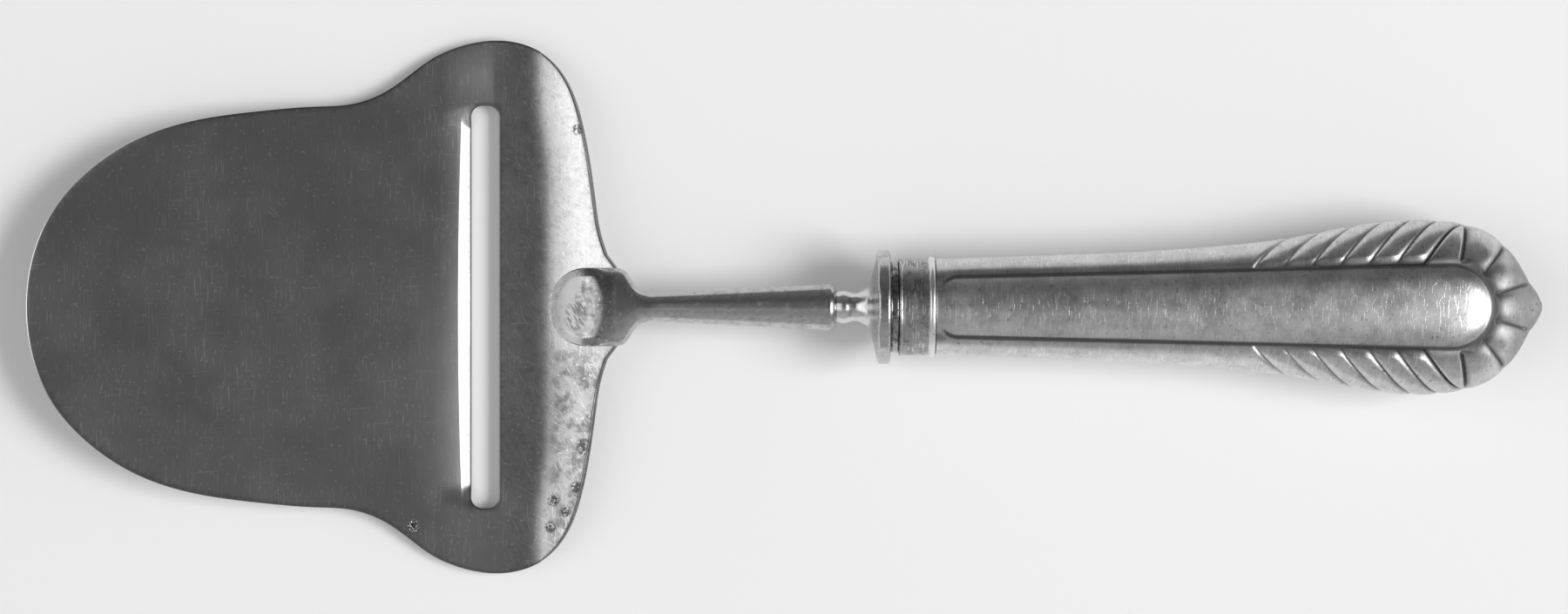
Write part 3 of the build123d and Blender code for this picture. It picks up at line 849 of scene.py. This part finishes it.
class Finish(Nodes):
    """The nodes of one finish, on Object coordinates."""

    def __init__(self, name, metallic=1.0):
        self.material = bpy.data.materials.new(name)
        self.material.use_nodes = True
        super().__init__(self.material.node_tree)
        self.shader = self.tree.nodes["Principled BSDF"]
        self.shader.inputs["Metallic"].default_value = metallic
        self.place = self.add("ShaderNodeTexCoord").outputs["Object"]
        self.x, self.y, _ = self.add("ShaderNodeSeparateXYZ", {"Vector": self.place}).outputs

    def wear(self, kind, value):
        """Gives the shader its base colour, roughness or normal."""
        self.tree.links.new(value, self.shader.inputs[kind])

    def mark(self, name):
        """Number kept at each vertex of the piece."""
        return self.add("ShaderNodeAttribute", attribute_name=name).outputs["Fac"]

    def band(self, start, risen, falling, end):
        """1 along X from risen to falling, and 0 before start and past end."""
        return self.times(self.ramp(self.x, start, risen), self.ramp(self.x, end, falling))

    def noise(self, size, detail=3.0, rough=0.55, turn=0.0, shift=0.0):
        """Noise with blobs of the given size along X, Y and Z, turned about Z."""
        scale = tuple(1 / s for s in (size if isinstance(size, tuple) else (size,) * 3))
        turned = self.add("ShaderNodeMapping", {"Vector": self.place, "Rotation": (0, 0, turn)})
        sized = self.add("ShaderNodeMapping", {"Vector": turned.outputs[0], "Scale": scale,
                                               "Location": (shift, shift, shift)})
        return self.add("ShaderNodeTexNoise", {"Vector": sized.outputs[0], "Scale": 1.0, "Detail": detail,
                                               "Roughness": rough}).outputs["Fac"]

    def lines(self, width, length, turn, amount, shift=0.0):
        """Fine scratches in one direction: 1 on a scratch and 0 beside it."""
        grain = self.noise((width, length, length), 1.0, 0.4, turn, shift)
        return self.ramp(grain, amount, amount + 0.06)

    def spot(self, place, size, soft=0.5):
        """1 round a place and 0 past the given size from it."""
        gap = self.add("ShaderNodeVectorMath", {0: self.place, 1: place}, operation="DISTANCE")
        return self.ramp(gap.outputs["Value"], size * (1 - soft), size, 1.0, 0.0)

    def mix(self, share, first, second):
        """Blend of two greys or sockets."""
        first, second = (grey if isinstance(grey, bpy.types.NodeSocket) else (grey, grey, grey, 1)
                         for grey in (first, second))
        return self.add("ShaderNodeMix", {0: share, 6: first, 7: second}, data_type="RGBA").outputs[2]

    def colour(self, base, coats=()):
        """The base colour, under coats that each have a share and a grey."""
        for share, grey in coats:
            base = self.mix(share, base, grey)
        self.wear("Base Color", base)

    def rough(self, *values):
        """The roughness, as a sum."""
        self.wear("Roughness", self.total(*values))

    def bump(self, height, distance, strength):
        """Adds a bump over the ones that came before."""
        inputs = {"Height": height, "Distance": distance, "Strength": strength}
        before = self.shader.inputs["Normal"].links
        if before:
            inputs["Normal"] = before[0].from_socket
        self.wear("Normal", self.add("ShaderNodeBump", inputs).outputs["Normal"])


def blade_finish():
    """Worn satin steel: fine scratches across the blade, stains and pits behind the slot, painted highlights
    on the rear bend, the bevel, a lobe and the tip's edge, and painted shade along the edges.
    """
    paint = Finish("blade_steel")
    x, y, ramp, times = paint.x, paint.y, paint.ramp, paint.times
    across = paint.lines(0.0002, 0.0036, 0.0, 0.648)
    short = paint.lines(0.00022, 0.0014, radians(5), 0.665, 2.3)
    lengthwise = paint.lines(0.00022, 0.005, radians(86), 0.70, 5.3)
    leaning = paint.lines(0.0002, 0.003, radians(-28), 0.64, 3.1)
    counter = paint.lines(0.0002, 0.0036, radians(-62), 0.655, 7.7)
    scuffed = paint.lines(0.0003, 0.0018, radians(-45), 0.54, 4.1)
    brushed = paint.noise((0.00014, 0.012, 0.012), 2.0, 0.6)
    clouds = paint.noise(0.012, 3.0, 0.5)
    specks = ramp(paint.noise(0.0005, 0.0, 0.5, 0.0, 1.7), 0.745, 0.785)
    streaks = ramp(paint.noise((0.0022, 0.00025, 0.0022), 3.0, 0.6, radians(28)), 0.35, 0.7)
    mottle = ramp(paint.noise(0.0026, 6.0, 0.7), 0.43, 0.62)
    grime = ramp(paint.noise(0.0011, 5.0, 0.75, 0.0, 6.1), 0.47, 0.62)
    pitted = ramp(paint.noise(0.00045, 2.0, 0.7), 0.44, 0.53)

    # Where the colour changes: behind the slot, on the rear bend and on the bevel, which get a painted
    # highlight, and at the tip
    behind = ramp(x, wall_x - 0.002, wall_x + 0.003)
    bent = ramp(x, level_x, level_x + 0.0025)
    # Painted highlight: the rear bend is lightened where it turns up
    lit_bend = ramp(x, level_x - 0.002, level_x + 0.0015)
    low_side = ramp(y, -0.002, -0.010)
    # Painted highlight on the bevel, partly its own brighter ground steel
    ground_bevel_and_highlight = times(paint.band(edge_x - 0.0021, edge_x - 0.0018, edge_x + 0.0004, edge_x + 0.0008),
                     ramp(times(y, y), half_slot ** 2, (half_slot - 0.002) ** 2))
    by_edge = times(paint.band(-0.0565, -0.0500, -0.0476, -0.0470), ramp(y, 0.012, -0.004),
                    ramp(y, -0.031, -0.022))
    # Painted highlight on the rounded edge at the tip
    tip_edge_highlight = times(ramp(x, -0.084, -0.098), ramp(y, -0.014, -0.002))

    scuff = times(scuffed, paint.spot(scuff_place, 0.0016, 0.7), 0.5)
    plain = times(paint.most(across, short, lengthwise), ramp(clouds, 0.35, 0.65, 0.2, 0.58))
    scratches = paint.most(plain, times(paint.most(leaning, counter), behind, 0.4), scuff)
    stains = times(bent, low_side, paint.total(times(mottle, 0.5), 0.34))
    # Painted reflection: a lighter, slightly rougher patch on a lobe where it tilts, cut off sharply towards
    # the rear
    painted_sheen = times(paint.spot(painted_sheen_place, 0.0072, 1.0), ramp(x, -0.0424, -0.0432))
    spots = [paint.spot(pit_cluster, 0.0017)] + [paint.spot(place, 0.0011) for place in pit_places]
    pits = times(pitted, paint.most(*spots))

    paint.colour(paint.mix(ramp(clouds, 0.3, 0.7), 0.54, 0.59),
                 [(paint.most(lit_bend, ground_bevel_and_highlight), 0.77), (times(brushed, 0.2), 0.42),
                  (times(mottle, behind, 0.18), 0.9), (times(grime, behind, 0.22), 0.22),
                  (times(streaks, bent, 0.14), 0.30), (times(painted_sheen, 0.5), 0.92),
                  (times(by_edge, 0.6), 0.92), (stains, 0.15), (scratches, 0.95),
                  (times(specks, 0.5), 0.95), (times(pits, 0.85), 0.04),
                  # Painted shade darkens the blade's edges, and a painted highlight lightens them at the tip
                  (times(paint.mark("border"), 0.8), paint.mix(tip_edge_highlight, 0.1, 0.98))])
    paint.rough(ramp(clouds, 0.3, 0.7, 0.17, 0.2), times(brushed, 0.04), times(stains, 0.12),
                times(painted_sheen, 0.05))
    paint.bump(brushed, 0.000002, 0.3)
    paint.bump(times(pits, -1.0), 0.00003, 0.8)
    return paint.material


def shank_finish():
    """Polished steel with light stains and a scratched weld mark on the tongue, painted highlights on the
    facet and the throat, a painted dark reflection on the crown and painted shade along the tongue's edges.
    """
    paint = Finish("shank_steel")
    x, ramp, times = paint.x, paint.ramp, paint.times
    stains = ramp(paint.noise(0.0012, 6.0, 0.72), 0.47, 0.64)
    blotches = ramp(paint.noise(0.0018, 3.0, 0.6, 0.0, 8.2), 0.60, 0.64)
    scratches = paint.lines(0.00018, 0.003, radians(70), 0.62)
    flecks = ramp(paint.noise(0.0005, 3.0, 0.7, 0.0, 5.5), 0.58, 0.63)
    patch = paint.spot(weld_mark, 0.0026, 0.3)
    shine = paint.spot(weld_shine, 0.0014, 0.3)
    scraped = times(paint.lines(0.00024, 0.0014, radians(-32), 0.47, 2.2), patch)

    # The tongue's facet, lightened as a painted highlight, and its crown, darkened as a painted dark
    # reflection mottled by the stains, meet along a ragged line
    ragged = paint.total(x, ramp(paint.noise(0.0014, 5.0, 0.7, 0.0, 4.6), 0.3, 0.7, -0.0012, 0.0012))
    facet_highlight = times(ramp(ragged, -0.0286, -0.0302), ramp(x, -0.0340, -0.0313))
    crown_shade = times(ramp(ragged, -0.0297, -0.0283), ramp(x, rear_x, rear_x - 0.001))
    flecks = times(flecks, crown_shade, ramp(x, -0.0282, -0.0274))
    # Painted highlight: the throat is lightened so that its ridges shine
    throat_highlight = paint.band(stem_end_x - 0.0002, stem_end_x + 0.0001, stem_end_x + 0.005, stem_end_x + 0.0054)
    on_boss = paint.band(boss_x - 0.0001, boss_x, ferrule_low.x, ferrule_low.x + 0.0002)

    paint.colour(paint.mix(times(stains, 0.5), 0.52, 0.26),
                 # Painted highlight on the facet, painted dark reflection on the crown
                 [(times(blotches, 0.35), 0.75), (times(scratches, 0.3), 0.85), (times(facet_highlight, 0.7), 0.8),
                  (times(crown_shade, ramp(stains, 0.0, 1.0, 0.45, 0.85)), 0.2), (times(flecks, 0.5), 0.9),
                  (times(throat_highlight, 0.7), 0.8), (times(shine, 0.45), 0.6), (times(scraped, 0.6), 0.12),
                  (times(on_boss, ramp(stains, 0.0, 1.0, 0.35, 0.9)), 0.1),
                  # Painted shade along the tongue's edges
                  (times(paint.mark("border"), 0.75), 0.1)])
    paint.rough(ramp(stains, 0.0, 1.0, 0.22, 0.3), times(patch, 0.1))
    paint.bump(paint.noise(0.0012, 4.0, 0.6), 0.00002, 0.5)
    paint.bump(scraped, 0.00003, 0.8)
    return paint.material


def silver_finish():
    """Worn silver: soft clouds, fine scratches, recesses darkened with tarnish and painted shade, and painted
    highlights on the rim wire and the middle of the panel.
    """
    paint = Finish("handle_silver")
    x, y, ramp, times = paint.x, paint.y, paint.ramp, paint.times
    recess = paint.mark("recess")
    clouds = paint.noise(0.004, 6.0, 0.66)
    streaks = ramp(paint.noise((0.012, 0.0012, 0.0012), 4.0, 0.6), 0.5, 0.75)
    scratches = paint.most(paint.lines(0.0002, 0.0030, radians(35), 0.69),
                           paint.lines(0.0002, 0.003, radians(-20), 0.70, 4.4))
    upright = paint.lines(0.00022, 0.0018, radians(3), 0.60, 9.1)
    specks = ramp(paint.noise(0.0007, 2.0), 0.66, 0.71)
    grime = ramp(paint.noise(0.0013, 6.0, 0.75, 0.0, 3.7), 0.46, 0.66)
    on_ferrule = ramp(x, rim_low.x, rim_low.x - 0.0003)
    # Painted highlight along the rim wire
    wire_highlight = paint.band(rim_low.x - 0.0001, rim_low.x, handle_x, handle_x + 0.00005)

    # The middle of the panel is lighter towards the butt: fine scratches there, and a painted highlight where
    # it slopes towards the butt
    worn_and_sheen = times(ramp(times(y, y), 0.00002, 0.0), ramp(x, 0.045, 0.092), ramp(x, 0.100, 0.090, 0.0, 0.7))

    paint.colour(paint.mix(ramp(clouds, 0.36, 0.64), 0.60, 0.71),
                 [(times(streaks, 0.22), 0.35), (times(grime, 0.26), 0.22),
                  (times(on_ferrule, ramp(grime, 0.0, 1.0, 0.55, 0.82)), 0.15), (times(wire_highlight, 0.6), 0.92),
                  (times(worn_and_sheen, ramp(clouds, 0.35, 0.65, 0.45, 0.85)), 0.95), (times(upright, 0.4), 0.95),
                  (times(scratches, 0.35), 0.9), (times(specks, 0.5), 0.15),
                  # Tarnish and painted shade in the recesses
                  (ramp(recess, 0.05, 0.9, 0.0, 0.92), 0.06)])
    paint.rough(ramp(clouds, 0.3, 0.7, 0.28, 0.34), ramp(recess, 0.2, 1.0, 0.0, 0.3), times(worn_and_sheen, 0.1))
    paint.bump(clouds, 0.000012, 0.5)
    paint.bump(paint.most(scratches, upright), 0.000008, 0.5)
    return paint.material


def cement_finish():
    """Dull dark cement, hidden inside the shells."""
    paint = Finish("filler_cement", 0.0)
    paint.colour(paint.mix(paint.noise(0.002), 0.10, 0.16))
    paint.shader.inputs["Roughness"].default_value = 0.9
    return paint.material


# Studio

# Grey and glow of the floor, and strength of the light overhead and of the background
floor_grey, floor_glow = 0.93, 0.06
overhead, backdrop = 0.12, 0.86


def pale_floor():
    """A pale floor that keeps the slicer's shadow."""
    bpy.ops.mesh.primitive_plane_add(size=6, location=(0, 0, -0.00002))
    floor = bpy.context.object
    floor.name = "floor"
    material = bpy.data.materials.new("pale_floor")
    material.use_nodes = True
    material.node_tree.nodes.clear()
    paint = Nodes(material.node_tree)
    matt = paint.add("ShaderNodeBsdfDiffuse", {"Color": (floor_grey, floor_grey, floor_grey, 1)})
    glow = paint.add("ShaderNodeEmission", {"Color": (1, 1, 1, 1)})
    rays = paint.add("ShaderNodeLightPath").outputs
    seen = paint.total(rays["Is Camera Ray"], rays["Is Glossy Ray"], rays["Is Transmission Ray"])
    blend = paint.add("ShaderNodeMixShader", {0: paint.times(seen, floor_glow), 1: matt.outputs[0],
                                              2: glow.outputs[0]})
    paint.add("ShaderNodeOutputMaterial", {"Surface": blend.outputs[0]})
    floor.data.materials.append(material)


def studio_world():
    """Soft grey surroundings: dark overhead and on the far side, light in front and low down."""
    world = bpy.data.worlds.new("studio")
    bpy.context.scene.world = world
    world.use_nodes = True
    world.node_tree.nodes.clear()
    light = Nodes(world.node_tree)
    ramp = light.ramp
    facing = light.add("ShaderNodeTexCoord").outputs["Generated"]
    ahead, aside, _ = light.add("ShaderNodeSeparateXYZ", {"Vector": facing}).outputs
    sides = light.total(ramp(aside, -0.06, -0.18, overhead, 0.37), ramp(aside, -0.35, -0.95, 0.0, 0.25),
                        ramp(aside, 0.55, 1.0, 0.0, 0.1))
    tip_side = light.total(ramp(ahead, -0.2, -0.4, 0.0, 0.95), ramp(ahead, -0.4, -0.75, 0.0, 0.6),
                           ramp(ahead, -0.86, -1.0, 0.0, -0.7))
    butt_side = light.total(ramp(ahead, 0.2, 0.5, 0.0, 0.24), ramp(ahead, 0.80, 0.93, 0.0, 1.3))
    middle = ramp(light.times(aside, aside), 0.25, 0.05)
    shone = light.total(sides, light.times(light.total(tip_side, butt_side), middle))
    seen = light.add("ShaderNodeLightPath").outputs["Is Camera Ray"]
    pale = light.add("ShaderNodeMix", {0: seen, 2: shone, 3: backdrop}, data_type="FLOAT")
    back = light.add("ShaderNodeBackground", {"Strength": pale.outputs[0]})
    light.add("ShaderNodeOutputWorld", {"Surface": back.outputs[0]})


def soft_box(name, place, size, watts, turn):
    """A rectangular lamp that shines on the slicer from the given place."""
    lamp = bpy.data.lights.new(name, "AREA")
    lamp.shape = "RECTANGLE"
    lamp.size, lamp.size_y = size
    lamp.energy = watts
    box = bpy.data.objects.new(name, lamp)
    bpy.context.collection.objects.link(box)
    box.location = place
    box.rotation_euler = turn


def camera_above():
    """The photograph's view: straight down, 1800 pixels across the slicer's length."""
    picture_width = 0.2304
    distance = 0.64
    focus_z = 0.006
    camera = bpy.data.cameras.new("camera")
    camera.sensor_width = 36
    camera.lens = camera.sensor_width * distance / picture_width
    camera.clip_start = 0.01
    view = bpy.data.objects.new("camera", camera)
    view.location = (0.00013, 0, focus_z + distance)
    bpy.context.collection.objects.link(view)
    bpy.context.scene.camera = view


def dress(piece, node, slot):
    """Gives a piece the finish of its slot and its body, and hides the node that it replaces."""
    piece.data.materials.clear()
    piece.data.materials.append(finishes[slot])
    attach(piece, "root")
    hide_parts(node)


finishes = {"blade_steel": blade_finish(), "shank_steel": shank_finish(), "handle_silver": silver_finish(),
            "filler_cement": cement_finish()}
dress(build_blade(), "blade_plate", "blade_steel")
dress(build_shank(), "shank", "shank_steel")
throat, boss, band, wire = build_turned_parts()
dress(throat, "bolster", "shank_steel")
dress(boss, "bolster", "shank_steel")
dress(band, "ferrule", "handle_silver")
dress(wire, "ferrule_rim", "handle_silver")
upper_shell, lower_shell = build_shells()
dress(upper_shell, "handle_shell_top", "handle_silver")
dress(lower_shell, "handle_shell_bottom", "handle_silver")
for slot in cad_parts["filler_core"].material_slots:
    slot.material = finishes["filler_cement"]

pale_floor()
studio_world()
soft_box("butt_box", (2.40, -0.20, 2.40), (1.32, 1.74), 82, (0, radians(45), 0))
camera_above()
bpy.context.scene.view_settings.view_transform = "Standard"
